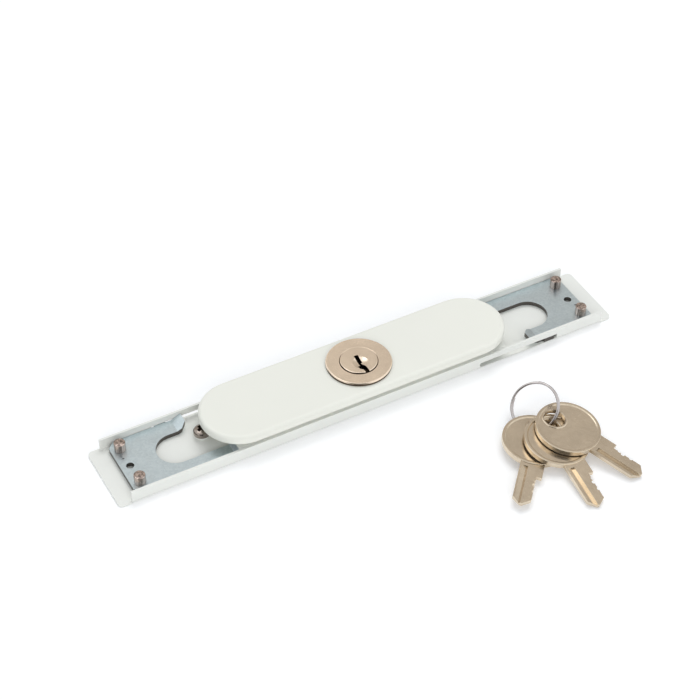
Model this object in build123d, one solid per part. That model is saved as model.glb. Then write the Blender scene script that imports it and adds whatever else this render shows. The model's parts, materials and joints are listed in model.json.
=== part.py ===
from build123d import *
from math import atan2, ceil, cos, pi, radians, sin, sqrt, tan
import os

# Roller shutter lock with its keys, in millimetres.
# X runs along the lock, Y across it and Z out of its back.
# The origin is where the cylinder's axis meets the back of the channel floor.
# The lock is the same after half a turn about Z, so the right side is the left side turned.

# Channel
sheet = 1.0
channel_width = 33.0
wall_length = 220.0
tab_length = 5.5
tab_corner = 2.0
bend_outer = 1.2
bend_inner = 0.3
key_port_radius = 6.6

# Bolt plates
plate_thickness = 2.0
plate_lift = 0.1
plate_side_play = 0.15
plate_outer_x = 107.5
plate_corner = 3.0
fork_half_width = 8.25
fork_screw_gap = 2.0
short_arm_tip_x = 74.6
short_arm_fold_x = 79.0
short_arm_corner = 2.5
joggle_start_x = 64.0
joggle_run = 1.7
long_arm_reach = 25.0
bar_hole_radius = 1.65
bar_hole_x = 103.57
punch_radius = 0.55
punch_depth = 0.35
punch_x = 104.6
punch_y = 4.6

# Guide lug of each plate and its slot in the channel wall
lug_inner_x = 81.2
lug_length = 4.9
lug_reach = 1.0
slot_outer_play = 1.3
slot_spare = 16.5
slot_play = 0.2

# Drive pins of each plate
pin_radius = 2.4
pin_height = 4.2
pin_shank_radius = 1.5
pin_chamfer = 0.4
pin_x = 103.6
pin_y = 9.94

# Rack and pinion
gear_module = 1.0
pinion_teeth = 20
pressure_angle = 20.0
root_depth_ratio = 1.25
tooth_play = 0.16
spare_gaps = 2
root_taper = 0.8
gap_flare = 1.6
pinion_lift = 0.15
quarter_turn = pi / 2

# Guide plate
guide_thickness = 2.0
guide_half_length = 38.0
guide_side_play = 0.3
guide_corner = 1.5
arm_play = 0.05

# Bridge lid and its rivets
lid_sheet = 1.0
lid_play = 0.15
lid_half_length = 62.5
lid_side_gap = 0.25
lid_tab_width = 2.0
lid_tabs_x = (-40.9, -21.1)
lid_foot_half_width = 6.0
rivet_x = 30.0
rivet_radius = 1.5
rivet_spacer_radius = 2.4
rivet_head_height = 0.7
rivet_rack_gap = 1.6

# Cover
cover_half_length = 69.8
cover_half_width = 17.0
cover_center_x = -1.9
cover_height = 3.6
cover_roof = 2.1
cover_edge = 1.6
slat_gap = 2.4
skirt_half_length = 58.0
skirt_half_width = 13.5
skirt_wall = 1.5
boss_radius = 3.0
boss_x = 45.0

# Cover screws and fixing screw; the recess and the dome are given as shares of the head
cover_screw_radius = 1.5
cover_screw_head_radius = 2.7
cover_screw_head_height = 1.9
cover_screw_depth = 3.0
screw_play = 0.1
access_play = 0.5
fixing_screw_lid_gap = 4.5
fixing_screw_y = 3.5
fixing_screw_radius = 2.0
fixing_screw_play = 0.05
fixing_screw_head_radius = 3.5
fixing_screw_head_height = 2.9
fixing_screw_rim_height = 1.3
screw_boss_height = 1.3
screw_boss_wall = 1.0
dome_shoulder = (0.62, 0.78)
recess_span = 1.25
recess_width = 0.28
recess_depth = 0.55

# Cylinder housing
flange_radius = 13.9
flange_height = 1.4
flange_bevel = 0.5
barrel_radius = 11.0
barrel_play = 0.15
spigot_radius = 10.4
spigot_play = 0.1
spigot_recess = 0.1
clip_groove_depth = 1.4
clip_thickness = 1.0
clip_width = 2.2
clip_play = 0.05
clip_mouth = 14.0
wafer_groove_depth = 1.3

# Cylinder plug
plug_radius = 7.85
plug_play = 0.05
plug_proud = 0.5
plug_edge = 0.25
dish_radius = 3.4
dish_depth = 0.8
dish_y = -1.7
tail_radius = 7.0
tail_flat = 6.0
tail_play = 0.02
tail_floor_gap = 0.2
ring_groove_radius = 6.2
ring_thickness = 0.8
ring_outer_radius = 9.0
ring_mouth = 9.0
ring_drop = 0.1
guide_hole_play = 0.4

# Keyway, seen from the front, with the bitted edge of the key towards +Y.
# The ward fills the groove that runs beside the middle of the blade.
keyway_center_x = -0.05
keyway_top_y = 2.8
keyway_play = 0.05
ward_depth = 0.8
ward_near = 0.4
ward_far = 2.9
ward_slope = 0.35
flare_depth = 1.2
flare_top_y = -3.2
flare_bottom_y = -5.0

# Wafers
wafer_count = 4
wafer_thickness = 1.0
wafer_pitch = 1.8
wafer_half_width = 3.0
wafer_play = 0.1
wafer_inset = 0.15
wafer_tab_reach = 1.8
wafer_tab_height = 1.0
wafer_tab_y = -1.4
wafer_spring_radius = 0.45
wafer_spring_length = 3.9
wafer_first_height = 0.9

# Keys, each with its bow centre at its own origin and its blade along its own +X
key_thickness = 2.2
bow_radius = 13.5
bow_rim = 1.2
bow_recess = 0.25
key_hole_radius = 4.4
key_hole_rim = 1.0
key_hole_offset = 6.6
blade_thickness = 1.7
blade_half_width = 3.75
blade_tip = 35.1
blade_tip_start = 32.4
blade_tip_flat = 0.8
stop_reach = 6.0
stop_end = 19.6
groove_start = 15.0
cut_depths = (0.5, 0.1, 0.9, 0.4)
cut_flat = 0.9
cut_slope = 0.55
key_edge = 0.3

# How the keys lie on each other beside the lock, threaded on the leaning ring.
# Each has its bow centre with its rise above a close stack, then its roll, pitch and heading.
key_1_place = (45.0, -65.5, 2.0)
key_2_place = (52.0, -70.75, 1.35)
key_3_place = (58.4, -68.7, 1.17)
key_1_turn = (-7.2, -0.2, -131.6)
key_2_turn = (-7.25, 5.85, -94.6)
key_3_turn = (-3.2, 8.8, -65.2)
key_places = (key_1_place, key_2_place, key_3_place)
key_turns = (key_1_turn, key_2_turn, key_3_turn)

# Split ring
wire_radius = 0.55
wire_overlap = 0.08
ring_radius = 10.0
ring_place = (52.8, -52.8)
ring_lean = 41.3
ring_azimuth = -157.6
ring_floor_gap = 0.3
ring_crossing = (201.0, 275.0)
crossing_steps = 12

# Levels, worked up from the back of the channel
plate_bottom = sheet + plate_lift
plate_top = plate_bottom + plate_thickness
guide_top = sheet + guide_thickness
arm_bottom = guide_top + arm_play
arm_top = arm_bottom + plate_thickness
arm_rise = arm_bottom - plate_bottom
lid_bottom = arm_top + lid_play
lid_top = lid_bottom + lid_sheet
channel_height = lid_top
cover_bottom = lid_top + slat_gap
cover_top = cover_bottom + cover_height
cover_underside = cover_top - cover_roof
flange_top = cover_top + flange_height
plug_top = flange_top + plug_proud
pinion_bottom = guide_top + pinion_lift
pinion_top = arm_top
plug_shoulder = pinion_top + arm_play
tail_bottom = sheet + tail_floor_gap
spigot_bottom = lid_bottom + spigot_recess
plug_clip_bottom = pinion_bottom - ring_drop - ring_thickness

# Widths and lengths that follow
wall_inner_y = channel_width / 2 - sheet
channel_length = wall_length + 2 * tab_length
plate_half_width = wall_inner_y - plate_side_play
pitch_radius = gear_module * pinion_teeth / 2
tooth_pitch = pi * gear_module
travel = pitch_radius * quarter_turn
rack_tip_y = pitch_radius - gear_module
rack_root_y = pitch_radius + root_depth_ratio * gear_module
lug_outer_x = lug_inner_x + lug_length
slot_outer_x = lug_outer_x + slot_outer_play
slot_inner_x = lug_inner_x - travel - slot_spare
fixing_screw_x = -(lid_half_length + fixing_screw_lid_gap + fixing_screw_head_radius)
fork_end_x = -fixing_screw_x + fixing_screw_head_radius + fork_screw_gap + travel
slot_bottom = sheet
slot_top = plate_top + slot_play
rivet_y = rack_tip_y - rivet_rack_gap - rivet_spacer_radius
rivet_places = [(x, y) for x in (-rivet_x, rivet_x) for y in (-rivet_y, rivet_y)]
cover_screw_places = [(cover_center_x + side * boss_x, 0) for side in (-1, 1)]
access_radius = cover_screw_head_radius + access_play
bore_radius = plug_radius + plug_play
guide_hole_radius = ring_outer_radius + guide_hole_play
blade_center_y = keyway_top_y - keyway_play - blade_half_width
wafer_levels = [plug_shoulder + wafer_first_height + i * wafer_pitch for i in range(wafer_count)]
half_turn = Rot(0, 0, 180)


def plate(outline, bottom, top):
    """A flat sheet of the given outline between two levels."""
    return Pos(0, 0, bottom) * extrude(outline, top - bottom)


def disc(radius, bottom, top, place=(0, 0)):
    """A round bar standing on a level."""
    return plate(Pos(*place) * Circle(radius), bottom, top)


def bar(x_low, x_high, y_low, y_high, bottom, top):
    """A rectangular block between its limits."""
    middle = Pos((x_low + x_high) / 2, (y_low + y_high) / 2, 0)
    return plate(middle * Rectangle(x_high - x_low, y_high - y_low), bottom, top)


def outline(points):
    """A face bounded by straight lines through the points."""
    return make_face(Polyline(*points, close=True))


def cross_recess(head_radius, level, head_height):
    """The two crossing slots of a screw head, cut both ways from a level."""
    span = recess_span * head_radius
    width = recess_width * head_radius
    depth = recess_depth * head_height
    slot = Rectangle(span, width) + Rectangle(width, span)
    return plate(slot, level - depth, level + depth)


def wall_slot():
    """The lug's slot through the front wall, with a round inner end."""
    radius = (slot_top - slot_bottom) / 2
    middle = (slot_top + slot_bottom) / 2
    straight_start = slot_inner_x + radius
    straight = slot_outer_x - straight_start
    shape = Pos(straight_start + straight / 2, middle) * Rectangle(straight, 2 * radius)
    shape += Pos(straight_start, middle) * Circle(radius)
    face = Plane.XZ * shape
    return extrude(Pos(0, -wall_inner_y + sheet, 0) * face, 4 * sheet)


def make_channel():
    """The folded channel that lies behind the slat, with its end tabs, slots and screw boss."""
    half = channel_width / 2
    web = Pos(0, channel_height / 2) * Rectangle(channel_width, channel_height)
    web = fillet(web.vertices().group_by(Axis.Y)[0], bend_outer)
    hollow_height = channel_height - sheet
    hollow = Pos(0, sheet + hollow_height / 2) * Rectangle(2 * (half - sheet), hollow_height)
    hollow = fillet(hollow.vertices().group_by(Axis.Y)[0], bend_inner)
    section = Plane.YZ * (web - hollow)
    channel = Pos(-wall_length / 2, 0, 0) * extrude(section, wall_length)
    for side in (-1, 1):
        tab_x = side * (channel_length / 2 - tab_length / 2)
        tab = Pos(tab_x, 0) * Rectangle(tab_length, channel_width)
        outer = tab.vertices().sort_by(Axis.X)
        outer = outer[-2:] if side > 0 else outer[:2]
        channel += plate(fillet(outer, tab_corner), 0, sheet)
    slot = wall_slot()
    channel -= slot
    channel -= half_turn * slot
    screw_place = (fixing_screw_x, fixing_screw_y)
    boss_radius_outer = fixing_screw_radius + screw_boss_wall
    channel += disc(boss_radius_outer, sheet, sheet + screw_boss_height, screw_place)
    channel -= disc(fixing_screw_radius + fixing_screw_play, 0, sheet + screw_boss_height, screw_place)
    channel -= disc(key_port_radius, 0, sheet)
    for place in rivet_places:
        channel -= disc(rivet_radius, 0, sheet, place)
    for place in cover_screw_places:
        channel -= disc(access_radius, 0, sheet, place)
    return channel


def make_fixing_screw():
    """A pan-head screw with a cross recess, its shank flush with the back."""
    seat = sheet + screw_boss_height
    top = fixing_screw_head_height
    radius = fixing_screw_head_radius
    side = Polyline((0, 0), (radius, 0), (radius, fixing_screw_rim_height))
    across, up = dome_shoulder
    dome_point = (radius * across, fixing_screw_rim_height + up * (top - fixing_screw_rim_height))
    dome = ThreePointArc((radius, fixing_screw_rim_height), dome_point, (0, top))
    axis_line = Line((0, top), (0, 0))
    head = revolve(Plane.XZ * make_face([*side.edges(), dome, axis_line]), Axis.Z)
    screw = Pos(0, 0, seat) * head
    screw += disc(fixing_screw_radius, 0, seat)
    screw -= cross_recess(radius, seat + top, top)
    return Pos(fixing_screw_x, fixing_screw_y, 0) * screw


def make_guide_plate():
    """The spacer plate on the channel floor that carries the racks and lets the plug's tail turn."""
    half_width = wall_inner_y - guide_side_play
    shape = RectangleRounded(2 * guide_half_length, 2 * half_width, guide_corner)
    guide = plate(shape, sheet, guide_top)
    guide -= disc(guide_hole_radius, sheet, guide_top)
    for place in rivet_places:
        guide -= disc(rivet_radius, sheet, guide_top, place)
    return guide


def make_bridge_lid():
    """The lid between the channel's walls, with side tabs and a turned-down foot at each end."""
    half_width = wall_inner_y - lid_side_gap
    lid = bar(-lid_half_length, lid_half_length, -half_width, half_width, lid_bottom, lid_top)
    for x in lid_tabs_x:
        tab = bar(x - lid_tab_width / 2, x + lid_tab_width / 2, -wall_inner_y, -half_width, lid_bottom, lid_top)
        lid += tab
        lid += half_turn * tab
    foot = bar(lid_half_length - lid_sheet, lid_half_length, -lid_foot_half_width, lid_foot_half_width,
               sheet, lid_bottom)
    lid += foot
    lid += half_turn * foot
    lid -= disc(spigot_radius + spigot_play, lid_bottom, lid_top)
    for place in rivet_places:
        lid -= disc(rivet_radius, lid_bottom, lid_top, place)
    for place in cover_screw_places:
        lid -= disc(cover_screw_radius + screw_play, lid_bottom, lid_top, place)
    return lid


def make_bridge_rivets():
    """Shouldered rivets that hold the lid and the guide plate to the channel at the right height."""
    rivets = []
    for place in rivet_places:
        rivet = disc(rivet_radius, 0, lid_top, place)
        rivet += disc(rivet_spacer_radius, guide_top, lid_bottom, place)
        rivet += disc(rivet_spacer_radius, lid_top, lid_top + rivet_head_height, place)
        rivets.append(rivet)
    return Compound(children=rivets)


def make_cover():
    """The moulded cover outside the slat: a stadium roof on a narrower skirt that crosses the slat."""
    shape = Pos(cover_center_x, 0) * SlotOverall(2 * cover_half_length, 2 * cover_half_width)
    cover = plate(shape, cover_bottom, cover_top)
    cover = fillet(cover.faces().sort_by(Axis.Z)[-1].edges(), cover_edge)
    skirt = Pos(cover_center_x, 0) * SlotOverall(2 * skirt_half_length, 2 * skirt_half_width)
    cover += plate(skirt, lid_top, cover_bottom)
    inside = Pos(cover_center_x, 0) * SlotOverall(2 * (skirt_half_length - skirt_wall),
                                                 2 * (skirt_half_width - skirt_wall))
    cover -= plate(inside, lid_top, cover_underside)
    for place in cover_screw_places:
        cover += disc(boss_radius, lid_top, cover_underside, place)
        cover -= disc(cover_screw_radius, lid_top, lid_top + cover_screw_depth, place)
    cover -= disc(barrel_radius + barrel_play, lid_top, cover_top)
    return cover


def make_cover_screws():
    """Screws from the back, through the lid into the cover's bosses."""
    screws = []
    for place in cover_screw_places:
        head_bottom = lid_bottom - cover_screw_head_height
        screw = disc(cover_screw_head_radius, head_bottom, lid_bottom)
        screw += disc(cover_screw_radius, lid_bottom, lid_top + cover_screw_depth)
        screw -= cross_recess(cover_screw_head_radius, head_bottom, cover_screw_head_height)
        screws.append(Pos(*place, 0) * screw)
    return Compound(children=screws)


def make_cylinder_housing():
    """The turned housing: flange on the cover, barrel on the lid, spigot through the lid."""
    flange = disc(flange_radius, cover_top, flange_top)
    flange = chamfer(flange.faces().sort_by(Axis.Z)[-1].edges(), flange_bevel)
    housing = flange
    housing += disc(barrel_radius, lid_top, cover_top)
    housing += disc(spigot_radius, spigot_bottom, lid_top)
    clip_bottom = cover_underside - clip_thickness - clip_play
    housing -= (disc(barrel_radius, clip_bottom, cover_underside)
                - disc(barrel_radius - clip_groove_depth, clip_bottom, cover_underside))
    housing -= disc(bore_radius, spigot_bottom, flange_top)
    groove_radius = bore_radius + wafer_groove_depth
    groove_half = wafer_half_width + wafer_play
    groove_top = wafer_levels[-1] + wafer_thickness
    groove = disc(groove_radius, spigot_bottom, groove_top)
    groove &= bar(-groove_half, groove_half, -groove_radius, groove_radius, spigot_bottom, groove_top)
    housing -= groove
    return housing


def spring_clip(inner_radius, outer_radius, mouth, bottom, thickness, opening_angle):
    """A flat open ring."""
    clip = disc(outer_radius, bottom, bottom + thickness) - disc(inner_radius, bottom, bottom + thickness)
    gap = bar(0, 2 * outer_radius, -mouth / 2, mouth / 2, bottom, bottom + thickness)
    return clip - Rot(0, 0, opening_angle) * gap


def make_cylinder_clip():
    """The horseshoe clip in the barrel's groove that clamps the cover under the flange."""
    inner = barrel_radius - clip_groove_depth + clip_play
    bottom = cover_underside - clip_thickness
    return spring_clip(inner, inner + clip_width, clip_mouth, bottom, clip_thickness, 0)


def make_plug_clip():
    """The retaining ring under the pinion."""
    return spring_clip(ring_groove_radius + tail_play, ring_outer_radius, ring_mouth,
                       plug_clip_bottom, ring_thickness, 90)


def tail_section(play):
    """The tail's round shape with its two driving flats."""
    flats = Rectangle(2 * (tail_flat + play), 4 * tail_radius)
    return Circle(tail_radius + play) & flats


def keyway():
    """The warded keyway, which opens at the plug's edge on the bitted side."""
    half = blade_thickness / 2 + keyway_play
    left = keyway_center_x - half
    right = keyway_center_x + half
    ward_x = right - ward_depth
    edge = -plug_radius - keyway_play
    ward_top = blade_center_y - ward_near - keyway_play
    ward_bottom = blade_center_y - ward_far + keyway_play
    flare_x = left - flare_depth
    points = [
        (left, keyway_top_y), (right, keyway_top_y),
        (right, ward_top), (ward_x, ward_top - ward_slope), (right, ward_bottom),
        (right, edge), (left, edge),
        (left, flare_bottom_y - flare_depth), (flare_x, flare_bottom_y),
        (flare_x, flare_top_y), (left, flare_top_y + ward_slope),
    ]
    return outline(points)


def make_cylinder_plug():
    """The turning plug: dished face with the keyway, wafer slots and a flatted tail."""
    plug = disc(plug_radius, plug_shoulder, plug_top)
    plug = chamfer(plug.faces().sort_by(Axis.Z)[-1].edges(), plug_edge)
    plug += plate(tail_section(0), tail_bottom, plug_shoulder)
    sphere_radius = (dish_radius ** 2 + dish_depth ** 2) / (2 * dish_depth)
    plug -= Pos(0, dish_y, plug_top - dish_depth + sphere_radius) * Sphere(sphere_radius)
    groove_top = plug_clip_bottom + ring_thickness
    groove = disc(tail_radius, plug_clip_bottom, groove_top)
    groove -= disc(ring_groove_radius, plug_clip_bottom, groove_top)
    plug -= groove
    plug -= plate(keyway(), tail_bottom, plug_top)
    slot_half = wafer_half_width + wafer_play
    pocket_x = wafer_half_width + wafer_tab_reach + wafer_play
    pocket_low = wafer_tab_y - wafer_play
    pocket_high = wafer_tab_y + wafer_tab_height + wafer_spring_length + wafer_play
    for level in wafer_levels:
        low = level - wafer_thickness / 2 - wafer_play / 2
        high = level + wafer_thickness / 2 + wafer_play / 2
        plug -= bar(-slot_half, slot_half, -plug_radius, plug_radius, low, high)
        plug -= bar(0, pocket_x, pocket_low, pocket_high, low, high)
    return plug


def make_wafers():
    """The wafers, drawn as they stand with the key in, each with a window to its own cut."""
    wafers = []
    half = blade_thickness / 2 + wafer_play
    window_bottom = blade_center_y - blade_half_width - wafer_play
    for level, depth in zip(wafer_levels, cut_depths):
        body = Circle(plug_radius - wafer_inset) & Rectangle(2 * wafer_half_width, 4 * plug_radius)
        reach = wafer_half_width + wafer_tab_reach
        tab_middle = wafer_tab_y + wafer_tab_height / 2
        body += Pos(reach / 2, tab_middle) * Rectangle(reach, wafer_tab_height)
        window_top = blade_center_y + blade_half_width - depth + wafer_play
        window_height = window_top - window_bottom
        body -= Pos(keyway_center_x, (window_top + window_bottom) / 2) * Rectangle(2 * half, window_height)
        wafers.append(plate(body, level - wafer_thickness / 2, level + wafer_thickness / 2))
    return Compound(children=wafers)


def make_wafer_springs():
    """The small springs that push each wafer's tab, drawn as plain cylinders."""
    spring_x = wafer_half_width + wafer_tab_reach - 2 * wafer_spring_radius + wafer_play
    spring_end = wafer_tab_y + wafer_tab_height + wafer_spring_length
    springs = []
    for level in wafer_levels:
        rod = Plane.XZ * Circle(wafer_spring_radius)
        springs.append(Pos(spring_x, spring_end, level) * extrude(rod, wafer_spring_length))
    return Compound(children=springs)


def pinion_tooth_gap(angle):
    """The space between two teeth, from the root to past the tip, centred on an angle."""
    base_radius = pitch_radius * cos(radians(pressure_angle))
    root_radius = pitch_radius - root_depth_ratio * gear_module
    outer_radius = pitch_radius + gear_module

    def involute(radius):
        turn = sqrt(max(0, (radius / base_radius) ** 2 - 1))
        return turn - atan2(turn, 1)

    gap_half = (tooth_pitch / 2 + tooth_play / 2) / (2 * pitch_radius)

    def flank(radius, side):
        spread = gap_half + involute(radius) - involute(pitch_radius)
        return (radius * cos(angle + side * spread), radius * sin(angle + side * spread))

    middle_radius = (base_radius + outer_radius) / 2
    low_spread = gap_half - involute(pitch_radius)
    root_spread = low_spread * root_taper
    root = [(root_radius * cos(angle + side * root_spread), root_radius * sin(angle + side * root_spread))
            for side in (-1, 1)]
    right_flank = ThreePointArc(flank(base_radius, -1), flank(middle_radius, -1), flank(outer_radius, -1))
    left_flank = ThreePointArc(flank(outer_radius, 1), flank(middle_radius, 1), flank(base_radius, 1))
    past = outer_radius + gear_module / 2
    past_spread = gap_half * gap_flare
    beyond = [(past * cos(angle + side * past_spread), past * sin(angle + side * past_spread))
              for side in (-1, 1)]
    edges = [
        Line(root[0], flank(base_radius, -1)), right_flank,
        Line(flank(outer_radius, -1), beyond[0]), Line(beyond[0], beyond[1]),
        Line(beyond[1], flank(outer_radius, 1)), left_flank,
        Line(flank(base_radius, 1), root[1]), Line(root[1], root[0]),
    ]
    return make_face(edges)


def make_drive_pinion():
    """The pinion on the plug's tail, with a tooth gap facing each rack."""
    section = Circle(pitch_radius + gear_module)
    for i in range(pinion_teeth):
        section -= pinion_tooth_gap(-pi / 2 + 2 * pi * i / pinion_teeth)
    section -= tail_section(tail_play)
    return plate(section, pinion_bottom, pinion_top)


def rack_gap(x):
    """The space between two rack teeth on the front rack, centred on a place along it."""
    slope = tan(radians(pressure_angle))
    middle_half = (tooth_pitch / 2 + tooth_play / 2) / 2
    above = 2 * gear_module
    root_half = middle_half - slope * root_depth_ratio * gear_module
    tip_half = middle_half + slope * above
    return outline([
        (x - root_half, -rack_root_y), (x + root_half, -rack_root_y),
        (x + tip_half, -pitch_radius + above), (x - tip_half, -pitch_radius + above),
    ])


def side_profile(fold_start, run, end):
    """The edge view of an arm that steps up at its fold, as a face in XZ."""
    angle = atan2(arm_rise, run)
    shift = plate_thickness * tan(angle / 2)
    top_start = -fold_start
    top_end = -fold_start + run
    points = [
        (-plate_outer_x, plate_bottom), (top_start + shift, plate_bottom),
        (top_end + shift, arm_bottom), (end, arm_bottom), (end, arm_top),
        (top_end, arm_top), (top_start, plate_top), (-plate_outer_x, plate_top),
    ]
    return Plane.XZ * outline(points)


def make_left_bolt_plate():
    """The left plate: fork, short arm at the rear, long arm with the rack at the front, guide lug."""
    arm_inner = fork_half_width
    long_side = side_profile(joggle_start_x, joggle_run, long_arm_reach)
    front = extrude(Pos(0, plate_half_width, 0) * long_side, 2 * plate_half_width)
    tip_run = short_arm_fold_x - short_arm_tip_x
    short_side = side_profile(short_arm_fold_x, tip_run, 0)
    rear = extrude(Pos(0, plate_half_width, 0) * short_side, 2 * plate_half_width)
    fork_center = -(fork_end_x - fork_half_width)
    width = plate_half_width

    body_zone = bar(-plate_outer_x, fork_center, -width, width, 0, channel_height)
    body_zone -= disc(arm_inner, 0, channel_height, (fork_center, 0))
    long_zone = bar(fork_center, long_arm_reach, -width, -arm_inner, 0, channel_height)
    short_zone = bar(fork_center, -short_arm_tip_x, arm_inner, width, 0, channel_height)
    tip_corner = outline([
        (-short_arm_tip_x, arm_inner), (-short_arm_tip_x - short_arm_corner, arm_inner),
        (-short_arm_tip_x, arm_inner + short_arm_corner),
    ])
    short_zone -= plate(tip_corner, 0, channel_height)
    flat = bar(-plate_outer_x, fork_center, -width, width, plate_bottom, plate_top)
    bolt_plate = (flat & body_zone) + (front & long_zone) + (rear & short_zone)

    corners = bolt_plate.edges().filter_by(Axis.Z).group_by(Axis.X)[0]
    bolt_plate = chamfer(corners, plate_corner)
    lug_y = wall_inner_y + lug_reach - plate_side_play
    bolt_plate += bar(-lug_outer_x, -lug_inner_x, width, lug_y, plate_bottom, plate_top)

    inner_start = -(joggle_start_x - joggle_run)
    bolt_plate -= bar(inner_start, long_arm_reach, -rack_tip_y, 0, arm_bottom, arm_top)
    gaps_behind = ceil(travel / tooth_pitch) + spare_gaps
    for i in range(-gaps_behind, spare_gaps + 1):
        gap = rack_gap((i + 0.5) * tooth_pitch)
        bolt_plate -= plate(gap, arm_bottom, arm_top)
    relief_start = (spare_gaps + 0.5) * tooth_pitch
    bolt_plate -= bar(relief_start, long_arm_reach, -rack_root_y, 0, arm_bottom, arm_top)

    bolt_plate -= disc(bar_hole_radius, plate_bottom, plate_top, (-bar_hole_x, 0))
    for side in (-1, 1):
        bolt_plate -= disc(pin_shank_radius, plate_bottom, plate_top, (-pin_x, side * pin_y))
    bolt_plate -= disc(punch_radius, plate_top - punch_depth, plate_top, (-punch_x, punch_y))
    return bolt_plate


def make_pin(x, y):
    """A drive pin riveted into its plate."""
    pin = disc(pin_radius, plate_top, plate_top + pin_height)
    pin = chamfer(pin.faces().sort_by(Axis.Z)[-1].edges(), pin_chamfer)
    pin += disc(pin_shank_radius, plate_bottom, plate_top)
    return Pos(x, y, 0) * pin


def key_outline():
    """The key seen flat: blade with its stop, bitting and pointed tip, without the bow."""
    half = blade_half_width
    top = plug_top
    points = [(0, -half), (0, stop_reach), (stop_end, stop_reach), (stop_end, half)]
    for level, depth in reversed(list(zip(wafer_levels, cut_depths))):
        middle = stop_end + top - level
        points += [
            (middle - cut_flat / 2 - depth * cut_slope, half), (middle - cut_flat / 2, half - depth),
            (middle + cut_flat / 2, half - depth), (middle + cut_flat / 2 + depth * cut_slope, half),
        ]
    points += [
        (blade_tip_start, half), (blade_tip, blade_tip_flat / 2), (blade_tip, -blade_tip_flat / 2),
        (blade_tip_start, -half),
    ]
    return outline(points)


def make_key():
    """One key: round bow with a raised rim and ring hole, grooved blade with bitting."""
    half = key_thickness / 2
    web_half = half - bow_recess
    blade_half = blade_thickness / 2
    bow = disc(bow_radius, -half, half)
    bow = chamfer(bow.edges().filter_by(GeomType.CIRCLE), key_edge)
    for low, high in ((web_half, half), (-half, -web_half)):
        recess = disc(bow_radius - bow_rim, low, high)
        recess -= disc(key_hole_radius + key_hole_rim, low, high, (-key_hole_offset, 0))
        bow -= recess
    blade = plate(key_outline(), -blade_half, blade_half)
    blade -= disc(bow_radius - bow_rim, -blade_half, blade_half)
    key = bow + blade
    groove_bottom = blade_half - ward_depth - keyway_play
    groove = Plane.YZ * outline([
        (-ward_near, blade_half), (-ward_near - ward_slope, groove_bottom), (-ward_far, blade_half),
    ])
    key -= Pos(groove_start, 0, 0) * extrude(groove, blade_tip - groove_start)
    key -= disc(key_hole_radius, -half, half, (-key_hole_offset, 0))
    return key


def key_location(number):
    """Where a key has its own frame, counted from the lowest key."""
    x, y, rise = key_places[number - 1]
    roll, pitch, heading = key_turns[number - 1]
    height = (number - 0.5) * key_thickness + rise
    return Pos(x, y, height) * Rot(0, 0, heading) * Rot(0, pitch, 0) * Rot(roll, 0, 0)


def wire_turn(start, end, level):
    """One turn of the ring's wire about Z, from one angle to another."""
    section = Plane.XZ * (Pos(ring_radius, level) * Circle(wire_radius))
    return Rot(0, 0, start) * revolve(section, Axis.Z, end - start)


def wire_crossing(start, end, level):
    """The wire where it passes from the far turn to the near one."""
    points = []
    for i in range(crossing_steps + 1):
        share = i / crossing_steps
        angle = radians(start + share * (end - start))
        points.append((ring_radius * cos(angle), ring_radius * sin(angle), -level * cos(pi * share)))
    tangents = [(-sin(radians(angle)), cos(radians(angle)), 0) for angle in (start, end)]
    path = Spline(*points, tangents=tangents)
    section = Plane(origin=path @ 0, z_dir=path % 0) * Circle(wire_radius)
    return sweep(section, path)


def make_split_ring():
    """The split ring of two turns, leaning on the floor; one wire alone shows between its two ends."""
    level = wire_radius - wire_overlap
    start, end = ring_crossing
    ring = wire_turn(end, start + 360, level)
    ring += wire_turn(end, start + 360, -level)
    ring += wire_crossing(start, end, level)
    lean = radians(ring_lean)
    height = ring_radius * sin(lean) + level * cos(lean) + wire_radius + ring_floor_gap
    return Pos(*ring_place, height) * Rot(0, 0, ring_azimuth) * Rot(0, ring_lean, 0) * ring


def build():
    """Every piece under its node's name."""
    left_plate = make_left_bolt_plate()
    parts = {
        "channel": make_channel(),
        "fixing_screw": make_fixing_screw(),
        "guide_plate": make_guide_plate(),
        "bridge_lid": make_bridge_lid(),
        "bridge_rivets": make_bridge_rivets(),
        "cover": make_cover(),
        "cover_screws": make_cover_screws(),
        "cylinder_housing": make_cylinder_housing(),
        "cylinder_clip": make_cylinder_clip(),
        "cylinder_plug": make_cylinder_plug(),
        "plug_clip": make_plug_clip(),
        "drive_pinion": make_drive_pinion(),
        "wafers": make_wafers(),
        "wafer_springs": make_wafer_springs(),
        "left_bolt_plate": left_plate,
        "right_bolt_plate": half_turn * left_plate,
        "left_pin_front": make_pin(-pin_x, -pin_y),
        "left_pin_rear": make_pin(-pin_x, pin_y),
        "right_pin_front": make_pin(pin_x, -pin_y),
        "right_pin_rear": make_pin(pin_x, pin_y),
        "split_ring": make_split_ring(),
    }
    key = make_key()
    for number in range(1, len(key_places) + 1):
        parts[f"key_{number}"] = key_location(number) * key
    return parts


os.makedirs("parts", exist_ok=True)
for name, piece in build().items():
    export_step(piece, f"parts/{name}.step")

print(f"bolt travel {travel:.3f} mm for a quarter turn")
for number in range(1, len(key_places) + 1):
    hole = key_location(number) * Pos(-key_hole_offset, 0, 0)
    swing = Plane(hole)
    print(f"key_{number} swings about {swing.origin} along {swing.z_dir}")
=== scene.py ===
import json
from math import atan2, cos, pi, radians, sin

import bpy
from mathutils import Euler, Matrix, Vector

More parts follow.
